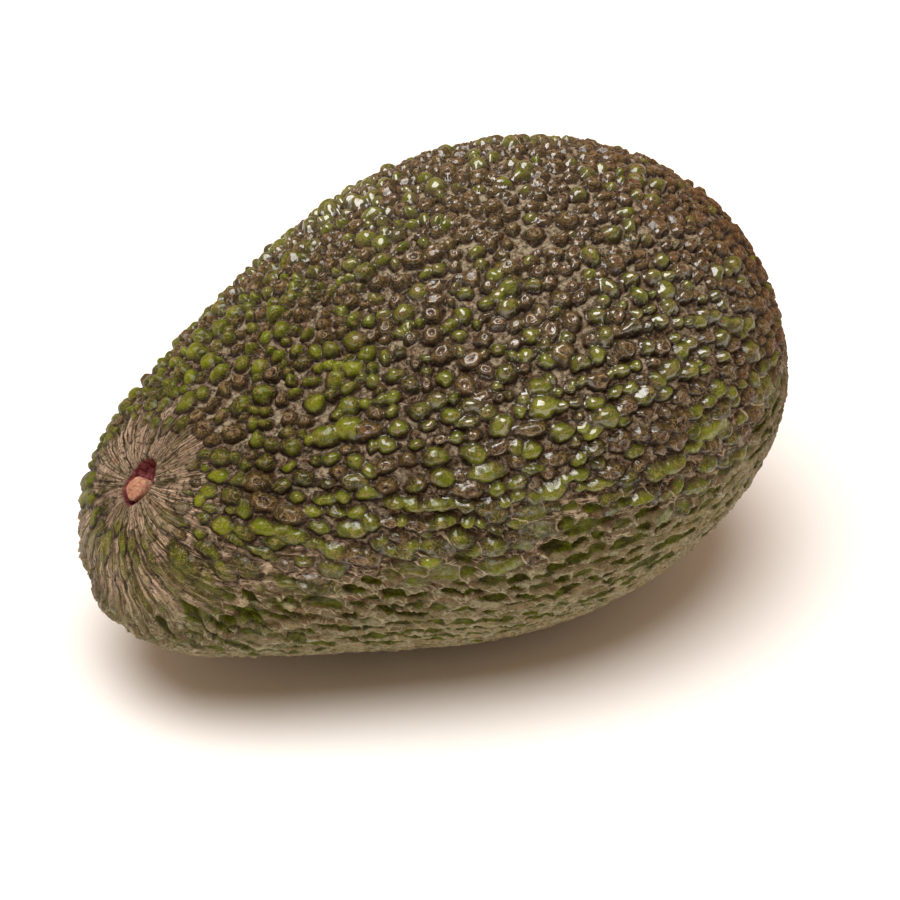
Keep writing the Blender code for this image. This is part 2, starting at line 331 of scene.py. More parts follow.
def box_lattice(squares):
    """Corners and quads of a box's surface, and which of its six sides each quad is on."""
    corners = []
    quads = []
    sides = []
    count = 0
    for axis in range(3):
        first, second = (axis + 1) % 3, (axis + 2) % 3
        rows, columns = squares[first] + 1, squares[second] + 1
        for side in (0, squares[axis]):
            grid = np.zeros((rows, columns, 3), dtype=int)
            grid[..., axis] = side
            grid[..., first] = np.arange(rows)[:, None]
            grid[..., second] = np.arange(columns)[None, :]
            number = np.arange(rows * columns).reshape(rows, columns) + count
            around = [number[:-1, :-1], number[1:, :-1], number[1:, 1:], number[:-1, 1:]]
            around = around if side else around[::-1]
            quads.append(np.stack(around, axis=-1).reshape(-1, 4))
            sides.append(np.full(len(quads[-1]), len(sides)))
            corners.append(grid.reshape(-1, 3))
            count += rows * columns
    lattice, place = np.unique(np.vstack(corners), axis=0, return_inverse=True)
    return lattice, place.reshape(-1)[np.vstack(quads)], np.concatenate(sides)


def drawn_to_pit(directions):
    """Directions from the heart, drawn closer together round the stem pit."""
    pit = unit_rows(PIT_PLACE - HEART)
    angle = np.arccos(np.clip(directions @ pit, -1.0, 1.0))
    closeness = PIT_CLOSENESS + (1.0 - PIT_CLOSENESS) * smooth_ramp(0.0, PIT_CLOSE_ANGLE, angle)
    sideways = unit_rows(directions - (directions @ pit)[:, None] * pit + 1e-12)
    turned = angle * closeness
    return np.cos(turned)[:, None] * pit + np.sin(turned)[:, None] * sideways


def nearest_pebbles(points, pebbles, count):
    """Numbers of the pebbles nearest to each point."""
    tree = kdtree.KDTree(len(pebbles["place"]))
    for number, place in enumerate(pebbles["place"].tolist()):
        tree.insert(place, number)
    tree.balance()
    return np.array([[hit[1] for hit in tree.find_n(point, count)] for point in points.tolist()])


def pebble_fields(points, pebbles):
    """Rise of the pebbles, sunken lenses, the net between, and the marks that colour them."""
    wandering = points + WIDE_WANDER * drift_at(points, WIDE_WANDER_SIZE, 2.4)
    wandering = wandering + FINE_WANDER * drift_at(points, FINE_WANDER_SIZE, 9.2)
    near = nearest_pebbles(wandering, pebbles, NEAREST_PEBBLES)
    offset = wandering[:, None, :] - pebbles["place"][near]
    flow = pebbles["flow"][near]
    side = np.cross(pebbles["normal"], pebbles["flow"])[near]
    along = (offset * flow).sum(axis=2) / pebbles["half_length"][near]
    across = (offset * side).sum(axis=2) / pebbles["half_width"][near]
    reach = np.hypot(along, across)

    dome = np.clip(1.0 - reach ** 2.3, 0.0, None) ** 0.78
    bowl = 1.0 - smooth_ramp(0.45, 1.0, reach / pebbles["crater"][near])
    rise = pebbles["height"][near] * dome * (1.0 - 0.42 * pebbles["dried"][near] * bowl)
    tail_reach = np.hypot(along / TAIL_LENGTH, across / TAIL_WIDTH)
    tail = TAIL_HEIGHT * pebbles["height"][near] * np.clip(1.0 - tail_reach ** 2, 0.0, None)
    winner = (rise - 0.001 * reach).argmax(axis=1)
    rows = np.arange(len(points))
    nearest = near[rows, winner]
    won_reach = reach[rows, winner]
    closest = np.sort(reach, axis=1)
    lens = pebbles["recess"][near] * smooth_ramp(0.84, 0.46, reach)
    fall = -offset[rows, winner, 2] / np.linalg.norm(offset[rows, winner], axis=1)
    return {
        "rise": (rise ** UNION_POWER + tail ** UNION_POWER).sum(axis=1) ** (1.0 / UNION_POWER),
        "lens": lens.max(axis=1),
        "net": 1.0 - smooth_ramp(0.02, 0.50, closest[:, 1] - closest[:, 0]),
        "edge": 1.0 - won_reach,
        "below": fall * smooth_ramp(0.15, 0.7, won_reach),
        "tone": pebbles["tone"][nearest],
        "dried": pebbles["dried"][nearest],
        "ring": won_reach / pebbles["crater"][nearest],
        "stands": smooth_ramp(0.10, 0.42, pebbles["height"][nearest]),
    }


def pit_fields(points):
    """Depth of the pit, the dimple round it and the radial folds, for skin points."""
    offset = points - PIT_PLACE
    side = offset @ PIT_SIDE
    uphill = offset @ PIT_UPHILL
    oval = np.hypot(side / PIT_HALF_WIDTH, uphill / PIT_HALF_HEIGHT)
    reach = pit_reach(points)
    angle = np.arctan2(uphill, side)
    ring = np.stack([np.cos(angle), np.sin(angle), 0.30 * np.log(reach + 1e-5)], axis=1)
    ring = ring + 0.07 * noise_at(points, 0.0050, 6.6)[:, None]
    folds = 1.0 - np.abs(noise_at(ring, 0.21, 5.3)) * 2.6
    fine = 1.0 - np.abs(noise_at(ring, 0.10, 1.9)) * 2.6
    window = smooth_ramp(0.90, 1.25, oval) * (1.0 - smooth_ramp(0.007, 0.020, reach))
    ragged = oval + 0.10 * noise_at(points, 0.0011, 4.4)
    hollow = 1.0 - smooth_ramp(0.80, 1.10, ragged)
    hollow = np.where(offset @ PIT_NORMAL > -0.01, hollow, 0.0)
    dimple = 1.0 - smooth_ramp(0.0, DIMPLE_RADIUS, reach)
    broken = 0.55 + 0.60 * noise_at(points, 0.0022, 7.1)
    return hollow, dimple, (0.55 * folds + 0.45 * fine) * window * broken, window


def scar_fields(points):
    """Rise of the blossom scar's button and the shallow ring round it."""
    reach = np.linalg.norm(points - SCAR_PLACE, axis=1) / SCAR_RADIUS
    button = 1.0 - smooth_ramp(0.7, 1.1, reach)
    ring = smooth_ramp(0.9, 1.4, reach) * (1.0 - smooth_ramp(1.6, 2.6, reach))
    return button - 0.8 * ring


def store(mesh, name, kind, values):
    """Keep values on the mesh's points as a named attribute."""
    attribute = mesh.attributes.new(name, kind, "POINT")
    field = "vector" if kind == "FLOAT_VECTOR" else "value"
    attribute.data.foreach_set(field, np.ascontiguousarray(values, dtype=np.float32).ravel())


def new_object(name, mesh):
    """An object for mesh at the origin of the scene."""
    piece = bpy.data.objects.new(name, mesh)
    bpy.context.scene.collection.objects.link(piece)
    return piece


def skin_carrier(pebbles):
    """The smooth body with the pit pressed in, its fields, and the box side of each quad."""
    lattice, quads, sides = box_lattice(SKIN_SQUARES)
    cube = np.tan((2.0 * lattice / np.array(SKIN_SQUARES) - 1.0) * math.pi / 4.0)
    directions = unit_rows(unit_rows(cube) * np.array(GRID_STRETCH))
    points = surface_along(drawn_to_pit(directions))
    normals = surface_normals(points)
    fields = skin_regions(points, normals)
    fields.update(pebble_fields(points, pebbles))
    hollow, dimple, folds, window = pit_fields(points)
    scar = scar_fields(points)
    pressed = points - np.outer(PIT_DEPTH * hollow + DIMPLE_DEPTH * dimple, PIT_NORMAL)
    pressed = pressed + np.outer(SCAR_RISE * scar, SCAR_NORMAL)
    plain = (1.0 - smooth_ramp(0.0, 0.4, hollow)) * (1.0 - np.clip(np.abs(scar), 0.0, 1.0))
    fields["rise"] = fields["rise"] * plain * (1.0 - 0.7 * window)
    fields["net"] = fields["net"] * plain * (1.0 - window)
    fields["lens"] = fields["lens"] * plain
    fields.update({"folds": folds, "hollow": hollow, "plain": plain})

    mesh = bpy.data.meshes.new("skin_carrier")
    mesh.from_pydata(pressed.tolist(), [], quads.tolist())
    store(mesh, "outward", "FLOAT_VECTOR", normals)
    store(mesh, "grain", "FLOAT_VECTOR", grain_domain(points))
    for name, values in fields.items():
        store(mesh, name, "FLOAT", values)
    return new_object("skin_carrier", mesh), quads, sides


class Graph:
    """A short way to add nodes to a tree, set their inputs and link them."""

    def __init__(self, tree):
        self.tree = tree

    def node(self, kind, inputs=None, **settings):
        """A new node with its settings, whose inputs are linked or set."""
        node = self.tree.nodes.new(kind)
        for name, value in settings.items():
            setattr(node, name, value)
        for key, value in (inputs or {}).items():
            if isinstance(value, bpy.types.NodeSocket):
                self.tree.links.new(value, node.inputs[key])
            else:
                node.inputs[key].default_value = value
        return node

    def math(self, operation, *values):
        """A Math node's result."""
        return self.node("ShaderNodeMath", dict(enumerate(values)), operation=operation).outputs[0]

    def product(self, *values):
        """Several values multiplied together."""
        result = values[0]
        for value in values[1:]:
            result = self.math("MULTIPLY", result, value)
        return result

    def vector(self, operation, *values, scale=None):
        """A Vector Math node's result."""
        inputs = dict(enumerate(values))
        if scale is not None:
            inputs["Scale"] = scale
        return self.node("ShaderNodeVectorMath", inputs, operation=operation).outputs[0]

    def ramp(self, value, low, high, start=0.0, end=1.0):
        """A smooth step of value between low and high."""
        inputs = {0: value, 1: low, 2: high, 3: start, 4: end}
        node = self.node("ShaderNodeMapRange", inputs, interpolation_type="SMOOTHSTEP")
        return node.outputs[0]

    def mix(self, share, first, second, blend="MIX"):
        """One colour laid over another."""
        inputs = {0: share, 6: first, 7: second}
        node = self.node("ShaderNodeMix", inputs, data_type="RGBA", blend_type=blend)
        return node.outputs[2]

    def noise(self, vector, scale, detail=3.0, roughness=0.55, distortion=0.0):
        """Layered noise from 0 to 1 with about scale features a metre."""
        inputs = {"Vector": vector, "Scale": scale, "Detail": detail, "Roughness": roughness,
                  "Distortion": distortion}
        return self.node("ShaderNodeTexNoise", inputs).outputs[0]

    def patches(self, vector, scale, low, high, start=0.0, end=1.0, detail=3.0, roughness=0.55):
        """A noise run through a smooth step, for marks that come in patches."""
        return self.ramp(self.noise(vector, scale, detail, roughness), low, high, start, end)


def new_tree(name, inputs):
    """A geometry tree with named inputs."""
    tree = bpy.data.node_groups.new(name, "GeometryNodeTree")
    tree.interface.new_socket("Geometry", in_out="INPUT", socket_type="NodeSocketGeometry")
    tree.interface.new_socket("Geometry", in_out="OUTPUT", socket_type="NodeSocketGeometry")
    for label, kind in inputs:
        tree.interface.new_socket(label, in_out="INPUT", socket_type="NodeSocket" + kind)
    return tree


def named_field(graph, name, kind="FLOAT"):
    """A named attribute of the geometry, as a field."""
    node = graph.node("GeometryNodeInputNamedAttribute", {"Name": name}, data_type=kind)
    return node.outputs[0]


def finish_tree(graph, geometry, material):
    """Realize, smooth and paint the geometry, and pass it out of the tree."""
    solid = graph.node("GeometryNodeRealizeInstances", {0: geometry}).outputs[0]
    smooth = graph.node("GeometryNodeSetShadeSmooth", {"Geometry": solid}).outputs[0]
    painted = graph.node("GeometryNodeSetMaterial", {"Geometry": smooth, "Material": material})
    graph.node("NodeGroupOutput", {0: painted.outputs[0]})


def rest_on_floor(graph, geometry, clearance):
    """Lift what would reach below the floor."""
    position = graph.node("GeometryNodeInputPosition").outputs[0]
    split = graph.node("ShaderNodeSeparateXYZ", {0: position}).outputs
    lifted = graph.math("MAXIMUM", split[2], clearance)
    level = graph.node("ShaderNodeCombineXYZ", {0: split[0], 1: split[1], 2: lifted}).outputs[0]
    inputs = {"Geometry": geometry, "Position": level}
    return graph.node("GeometryNodeSetPosition", inputs).outputs[0]


def relief_tree():
    """Raises pebbles, net, ridges, folds and grain from the body, and sinks valleys and lenses."""
    tree = new_tree("skin_relief", (
        ("Pebble Height", "Float"), ("Valley Depth", "Float"), ("Lens Depth", "Float"),
        ("Net Height", "Float"), ("Ridge Height", "Float"), ("Ridge Width", "Float"),
        ("Fold Height", "Float"), ("Long Fold Height", "Float"), ("Grain Height", "Float"),
        ("Grain Size", "Float"), ("Sag", "Float"), ("Floor Clearance", "Float"),
        ("Material", "Material")))
    graph = Graph(tree)
    given = graph.node("NodeGroupInput").outputs
    low, flat, plain = (named_field(graph, name) for name in ("low", "flat", "plain"))
    folded, rise = named_field(graph, "folded"), named_field(graph, "rise")
    plateau = graph.ramp(low, 0.30, 0.80)
    quiet = graph.ramp(flat, 0.1, 1.0, 1.0, 0.45)

    relief = graph.product(rise, given["Pebble Height"])
    valley = graph.product(graph.math("SUBTRACT", 1.0, plateau), plain, given["Valley Depth"])
    relief = graph.math("SUBTRACT", relief, valley)
    lens = graph.product(named_field(graph, "lens"), given["Lens Depth"], quiet)
    relief = graph.math("SUBTRACT", relief, lens)
    bold = graph.math("ADD", graph.product(low, quiet), 0.18)
    between = named_field(graph, "net")
    net = graph.product(between, bold, given["Net Height"])
    relief = graph.math("ADD", relief, net)

    grain = named_field(graph, "grain", "FLOAT_VECTOR")
    waves = graph.noise(grain, graph.math("DIVIDE", 1.0, given["Ridge Width"]), 2.0, 0.5, 0.35)
    crest = graph.math("ABSOLUTE", graph.math("SUBTRACT", waves, 0.5))
    crest = graph.ramp(crest, 0.0, 0.13, 1.0, 0.0)
    girth = named_field(graph, "girth")
    relief = graph.math("ADD", relief, graph.product(crest, plain, girth, given["Ridge Height"]))
    long_folds = graph.product(crest, plain, folded, girth, given["Long Fold Height"])
    relief = graph.math("ADD", relief, long_folds)
    folds = graph.product(named_field(graph, "folds"), given["Fold Height"])
    relief = graph.math("ADD", relief, folds)

    position = graph.node("GeometryNodeInputPosition").outputs[0]
    grain_scale = graph.math("DIVIDE", 1.0, given["Grain Size"])
    rough = graph.math("SUBTRACT", graph.noise(position, grain_scale, 3.0, 0.65), 0.5)
    smoother = graph.ramp(rise, 0.15, 0.7, 1.0, 0.45)
    relief = graph.math("ADD", relief, graph.product(rough, smoother, given["Grain Height"]))

    outward = named_field(graph, "outward", "FLOAT_VECTOR")
    upward = graph.node("ShaderNodeSeparateXYZ", {0: outward}).outputs[2]
    hanging = graph.math("ADD", rise, graph.product(between, low, quiet, 0.5))
    sag = graph.product(hanging, graph.ramp(upward, 0.75, 0.15), given["Sag"], -1.0)
    droop = graph.node("ShaderNodeCombineXYZ", {2: sag}).outputs[0]
    offset = graph.vector("ADD", graph.vector("SCALE", outward, scale=relief), droop)
    raised = graph.node("GeometryNodeSetPosition", {"Geometry": given["Geometry"],
                                                    "Offset": offset}).outputs[0]
    kept = graph.node("GeometryNodeStoreNamedAttribute", {
        "Geometry": raised, "Name": "crest", "Value": crest}, data_type="FLOAT").outputs[0]
    rested = rest_on_floor(graph, kept, given["Floor Clearance"])
    finish_tree(graph, rested, given["Material"])
    return tree


def grow(name, carrier, tree, values):
    """Run a geometry tree on the carrier and return its result as a plain mesh."""
    modifier = carrier.modifiers.new("growth", "NODES")
    modifier.node_group = tree
    for item in tree.interface.items_tree:
        if item.in_out == "INPUT" and item.name in values:
            modifier[item.identifier] = values[item.name]
    graph = bpy.context.evaluated_depsgraph_get()
    mesh = bpy.data.meshes.new_from_object(carrier.evaluated_get(graph))
    mesh.name = name
    bpy.data.objects.remove(carrier, do_unlink=True)
    return mesh


def read_values(data, field, width):
    """An array of a field of the mesh's points."""
    values = np.empty(len(data) * width, dtype=np.float32)
    data.foreach_get(field, values)
    return values.reshape(-1, width) if width > 1 else values


def part_of_skin(name, whole, quads, marks):
    """One part of the skin as a mesh that keeps the whole skin's normals and marks."""
    used, corners = np.unique(quads, return_inverse=True)
    places = read_values(whole.vertices, "co", 3)[used]
    normals = read_values(whole.vertex_normals, "vector", 3)[used]
    mesh = bpy.data.meshes.new(name)
    mesh.from_pydata(places.tolist(), [], corners.reshape(-1, 4).tolist())
    mesh.shade_smooth()
    mesh.normals_split_custom_set_from_vertices(normals.tolist())
    for mark in marks:
        store(mesh, mark, "FLOAT", read_values(whole.attributes[mark].data, "value", 1)[used])
    store(mesh, "grain", "FLOAT_VECTOR",
          read_values(whole.attributes["grain"].data, "vector", 3)[used])
    mesh.materials.append(whole.materials[0])
    return new_object(name, mesh)


def new_material(name):
    """A material with an empty tree, its graph and its Principled BSDF."""
    material = bpy.data.materials.new(name)
    material.use_nodes = True
    material.node_tree.nodes.clear()
    graph = Graph(material.node_tree)
    shader = graph.node("ShaderNodeBsdfPrincipled")
    graph.node("ShaderNodeOutputMaterial", {"Surface": shader.outputs[0]})
    return material, graph, shader


def attribute(graph, name):
    """A named attribute of the mesh, as a value."""
    return graph.node("ShaderNodeAttribute", attribute_name=name).outputs["Fac"]


def plug(graph, shader, **inputs):
    """Link or set the shader's inputs by name, with _ for each space."""
    for name, value in inputs.items():
        socket = shader.inputs[name.replace("_", " ")]
        if isinstance(value, bpy.types.NodeSocket):
            graph.tree.links.new(value, socket)
        else:
            socket.default_value = value


# Colours of the skin in linear light
BRIGHT_GREEN = (0.168, 0.205, 0.000, 1.0)
LEAF_GREEN = (0.092, 0.115, 0.000, 1.0)
DEEP_OLIVE = (0.026, 0.027, 0.001, 1.0)
OLIVE = (0.096, 0.062, 0.005, 1.0)
DARK_BROWN = (0.012, 0.006, 0.003, 1.0)
WARM_BROWN = (0.130, 0.071, 0.035, 1.0)
RED_BROWN = (0.122, 0.048, 0.019, 1.0)
ASH_AND_RIM_HIGHLIGHT = (0.325, 0.278, 0.192, 1.0)
DRY_EDGE = (0.330, 0.235, 0.095, 1.0)
STREAK = (0.690, 0.515, 0.370, 1.0)
PALE_NET_AND_LIT_EDGE = (0.385, 0.315, 0.165, 1.0)
PALE_THREAD = (0.430, 0.365, 0.230, 1.0)
SAGE = (0.198, 0.178, 0.090, 1.0)
PALE_SAGE = (0.350, 0.340, 0.220, 1.0)
RUST = (0.250, 0.115, 0.078, 1.0)
WINE = (0.190, 0.036, 0.044, 1.0)
ROSE_FLESH = (0.450, 0.140, 0.140, 1.0)
SALMON = (0.430, 0.190, 0.110, 1.0)
STRAW = (0.440, 0.280, 0.170, 1.0)
TORN_SHADE = (0.240, 0.080, 0.050, 1.0)


def shader_group(name, inputs, outputs):
    """A shader node group with named sockets, its graph and its inputs."""
    tree = bpy.data.node_groups.new(name, "ShaderNodeTree")
    for label, kind, start in inputs:
        socket = tree.interface.new_socket(label, in_out="INPUT", socket_type="NodeSocket" + kind)
        if start is not None:
            socket.default_value = start
    for label, kind in outputs:
        tree.interface.new_socket(label, in_out="OUTPUT", socket_type="NodeSocket" + kind)
    graph = Graph(tree)
    return tree, graph, graph.node("NodeGroupInput").outputs


def mottle_group():
    """Blends two colours by layered noise, with a share that can be pushed either way."""
    tree, graph, given = shader_group(
        "mottle",
        (("Vector", "Vector", None), ("Size", "Float", 1.0), ("Push", "Float", 0.0),
         ("Low", "Color", None), ("High", "Color", None)),
        (("Color", "Color"), ("Share", "Float")))
    coarse = graph.noise(given["Vector"], graph.math("DIVIDE", 1.0, given["Size"]), 4.0, 0.6, 0.4)
    share = graph.ramp(graph.math("ADD", coarse, given["Push"]), 0.36, 0.64)
    colour = graph.mix(share, given["Low"], given["High"])
    graph.node("NodeGroupOutput", {0: colour, 1: share})
    return tree


def grain_group():
    """Fine height for a bump: pores and wrinkles of the given size."""
    tree, graph, given = shader_group(
        "fine_grain",
        (("Vector", "Vector", None), ("Size", "Float", 1.0), ("Wrinkles", "Float", 0.5)),
        (("Height", "Float"),))
    scale = graph.math("DIVIDE", 1.0, given["Size"])
    pores = graph.noise(given["Vector"], scale, 4.0, 0.65)
    wrinkles = graph.noise(given["Vector"], graph.math("MULTIPLY", scale, 0.6), 2.0, 0.5, 1.2)
    folded = graph.math("ABSOLUTE", graph.math("SUBTRACT", wrinkles, 0.5))
    folded = graph.math("MULTIPLY", folded, given["Wrinkles"])
    graph.node("NodeGroupOutput", {0: graph.math("ADD", pores, folded)})
    return tree


def use_group(graph, tree, **inputs):
    """Place a node group and return its outputs."""
    return graph.node("ShaderNodeGroup", inputs, node_tree=tree).outputs


MOTTLE = mottle_group()
GRAIN = grain_group()


def mottled(graph, vector, size, low, high, push=0.0):
    """Two colours blended in patches of the given size in metres."""
    return use_group(graph, MOTTLE, Vector=vector, Size=size, Push=push, Low=low,
                     High=high)["Color"]


# Sizes of the patches in which two colours of the skin blend, in metres
VALLEY_MOTTLE = 0.0008
SCURF_MOTTLE = 0.0030
STREAK_MOTTLE = 0.0012
SAGE_MOTTLE = 0.0011
NET_MOTTLE = 0.0010
LEAF_MOTTLE = 0.0028
HUSK_MOTTLE = 0.0010
FLANK_MOTTLE = 0.0016
FLESH_MOTTLE = 0.0008
STUB_MOTTLE = 0.0007

# How closely the skin's finer marks lie, in features a metre
FLAKES = 1500.0
MOSS = 480.0
THREAD_BREAKS = 520.0
WRINKLES = 640.0
LONG_WRINKLES = 430.0
PORES = 1700.0
RUST_FLECKS = 800.0
PEBBLE_SPECKS = 620.0
CRATER_WOBBLE = 900.0
CRATER_BREAKS = 1100.0
LIT_RIM_BREAKS = 620.0
FRAYED_LINES = 950.0
LENS_EDGES = 1100.0
TROUGH_BREAKS = 420.0
CREST_BREAKS = 620.0
PEBBLE_EDGES = 1300.0
NET_BREAKS = 430.0
GRIT = 4200.0
DULL_PATCHES = 800.0
WAX_PATCHES = 650.0
CRINKLES = 1500.0
STUB_SHADE = 2600.0
TABLE_CLOUDS = 3.0

# Wax on the pebbles, the skin under it and the fine bump over both
SKIN_IOR = 1.45
SKIN_SPECULAR = 0.14
WAX_ROUGHNESS = 0.11
WAX_IOR = 1.95
CRATER_TURNS = 15.0
SKIN_BUMP = {"Strength": 0.9, "Distance": 0.00030}
STUB_BUMP = {"Strength": 0.8, "Distance": 0.00015}

# Parts of the skin, one for each side of its grid: stem end, blossom end, near, far, below, top
SKIN_PARTS = ("stem_end", "blossom_end", "near_side", "far_side", "underside", "top")

# Marks on the skin's points that its material reads
SKIN_MARKS = ("low", "flat", "dry", "collar", "folded", "lens", "net", "edge", "below",
              "tone", "dried", "ring", "stands", "hollow", "girth", "blossom", "side",
              "folds", "crest")


def thin_lines(graph, vector, scale, width):
    """Thin wandering lines where a noise crosses its middle value."""
    crossing = graph.math("SUBTRACT", graph.noise(vector, scale, 4.0, 0.6, 0.8), 0.5)
    return graph.ramp(graph.math("ABSOLUTE", crossing), 0.005, width, 1.0, 0.0)


def valley_colour(graph, place, grain, marks):
    """Skin between the pebbles: dark wrinkled brown with ashy scurf, sage and net-like below."""
    base = mottled(graph, place, VALLEY_MOTTLE, DARK_BROWN, WARM_BROWN)
    scurf = use_group(graph, MOTTLE, Vector=place, Size=SCURF_MOTTLE,
                      Push=graph.math("MULTIPLY", marks["dry"], 0.09), Low=DARK_BROWN,
                      High=ASH_AND_RIM_HIGHLIGHT)["Share"]
    flaked = graph.patches(place, FLAKES, 0.34, 0.60, 0.15)
    open_skin = graph.ramp(marks["edge"], -0.04, -0.30)
    base = graph.mix(graph.product(scurf, open_skin, flaked), base, ASH_AND_RIM_HIGHLIGHT)
    streaks = mottled(graph, grain, STREAK_MOTTLE, DEEP_OLIVE, STREAK)
    mossy = graph.patches(grain, MOSS, 0.50, 0.64, 0.0, 0.80)
    streaks = graph.mix(mossy, streaks, OLIVE)
    streaked = graph.math("MAXIMUM", marks["collar"], graph.product(marks["folded"], 0.8))
    base = graph.mix(graph.product(streaked, 0.75), base, streaks)
    sage = mottled(graph, grain, SAGE_MOTTLE, WARM_BROWN, SAGE, 0.02)
    banded = graph.product(graph.ramp(marks["low"], 0.30, 0.80), 0.90)
    base = graph.mix(banded, base, sage)
    pale = mottled(graph, place, NET_MOTTLE, SAGE, PALE_NET_AND_LIT_EDGE)
    base = graph.mix(graph.product(marks["flat"], 0.75), base, pale)
    broken = graph.patches(place, THREAD_BREAKS, 0.38, 0.60, detail=2.0)
    threads = graph.product(graph.ramp(marks["net"], 0.80, 1.0), broken,
                            graph.ramp(marks["low"], 0.0, 0.45, 0.15, 0.92))
    base = graph.mix(threads, base, PALE_THREAD)
    drawn_out = graph.ramp(graph.math("MAXIMUM", streaked, marks["low"]), 0.05, 0.35)
    wrinkles = thin_lines(graph, place, WRINKLES, 0.034)
    long_wrinkles = thin_lines(graph, grain, LONG_WRINKLES, 0.036)
    line_colour = graph.mix(graph.ramp(marks["low"], 0.2, 0.8), STREAK, PALE_SAGE)
    round_wrinkles = graph.product(wrinkles, graph.math("SUBTRACT", 1.0, drawn_out), 0.75)
    base = graph.mix(round_wrinkles, base, ASH_AND_RIM_HIGHLIGHT)
    base = graph.mix(graph.product(long_wrinkles, drawn_out, 0.80), base, line_colour)
    pores = graph.patches(place, PORES, 0.50, 0.66, 0.0, 0.80, roughness=0.6)
    base = graph.mix(graph.product(pores, graph.ramp(marks["low"], 0.2, 0.9, 1.0, 0.35)), base,
                     DARK_BROWN)
    flecks = graph.patches(place, RUST_FLECKS, 0.60, 0.70, detail=2.0)
    furrow = graph.product(graph.ramp(marks["folds"], 0.12, -0.22), marks["collar"])
    base = graph.mix(graph.product(furrow, 0.80), base, DEEP_OLIVE)
    reddish = graph.math("ADD", graph.product(marks["dry"], 0.40),
                         graph.product(marks["collar"], 0.45))
    base = graph.mix(graph.product(flecks, reddish), base, RUST)
    reddened = graph.mix(0.75, base, RUST, "MULTIPLY")
    return graph.mix(graph.product(marks["blossom"], 0.40), base, reddened)


def pebble_colour(graph, place, marks):
    """Leaf green to brown pebbles, greener below, with worn craters on the dried ones."""
    tone, dry, dried = marks["tone"], marks["dry"], marks["dried"]
    push = graph.math("MULTIPLY", graph.math("SUBTRACT", tone, 0.5), 0.26)
    leaf = mottled(graph, place, LEAF_MOTTLE, DEEP_OLIVE, LEAF_GREEN, push)
    fresh = graph.math("SUBTRACT", tone, graph.product(dry, 0.45))
    fresh = graph.math("ADD", fresh, graph.product(marks["below"], 0.22))
    fresh = graph.math("SUBTRACT", fresh, graph.product(marks["folded"], 0.40))
    leaf = graph.mix(graph.ramp(fresh, 0.62, 1.05, 0.0, 0.85), leaf, BRIGHT_GREEN)
    rusty = mottled(graph, place, HUSK_MOTTLE, DARK_BROWN, WARM_BROWN)
    speck = graph.patches(place, PEBBLE_SPECKS, 0.48, 0.66, 0.0, 0.9)
    worn = graph.product(speck, graph.ramp(dry, 0.0, 0.9, 0.40, 1.0),
                         graph.ramp(marks["below"], 0.1, 0.8, 1.0, 0.45))
    leaf = graph.mix(worn, leaf, rusty)

    husk = mottled(graph, place, HUSK_MOTTLE, DARK_BROWN, WARM_BROWN, -0.02)
    flank = mottled(graph, place, FLANK_MOTTLE, DEEP_OLIVE, OLIVE)
    husk = graph.mix(graph.product(graph.ramp(marks["ring"], 0.9, 1.5), 0.50), husk, flank)
    # Pale rings on the crater rims: partly dry ash, partly a painted highlight.
    wobble = graph.product(graph.math("SUBTRACT", graph.noise(place, CRATER_WOBBLE), 0.5), 0.6)
    rim_ash_and_highlight = graph.math("ABSOLUTE", graph.math("SUBTRACT", graph.math("ADD", marks["ring"],
                                                                      wobble), 0.85))
    rim_ash_and_highlight = graph.product(graph.ramp(rim_ash_and_highlight, 0.0, 0.15, 0.75, 0.0),
                           graph.patches(place, CRATER_BREAKS, 0.40, 0.60, detail=2.0))
    husk = graph.mix(rim_ash_and_highlight, husk, ASH_AND_RIM_HIGHLIGHT)
    leaf = graph.mix(graph.product(marks["blossom"], 0.50), leaf, OLIVE)
    husk = graph.mix(graph.product(marks["blossom"], 0.75), husk, RED_BROWN)
    colour = graph.mix(graph.ramp(dried, 0.05, 0.55), leaf, husk)
    # Painted light: a pale rim along the lower edges of the pebbles in the low band, as bounce
    # light from the table below.
    lit_lower_rim = graph.product(graph.ramp(marks["edge"], 0.30, 0.10), graph.ramp(marks["low"], 0.02, 0.4),
                        graph.ramp(marks["below"], 0.1, 0.6),
                        graph.patches(place, LIT_RIM_BREAKS, 0.35, 0.60, detail=2.0))
    colour = graph.mix(graph.product(lit_lower_rim, 0.9), colour, PALE_NET_AND_LIT_EDGE)
    frayed = graph.product(thin_lines(graph, place, FRAYED_LINES, 0.032), 0.58,
                           graph.ramp(marks["below"], 0.0, 0.8, 1.0, 0.35))
    return graph.mix(frayed, colour, DRY_EDGE)


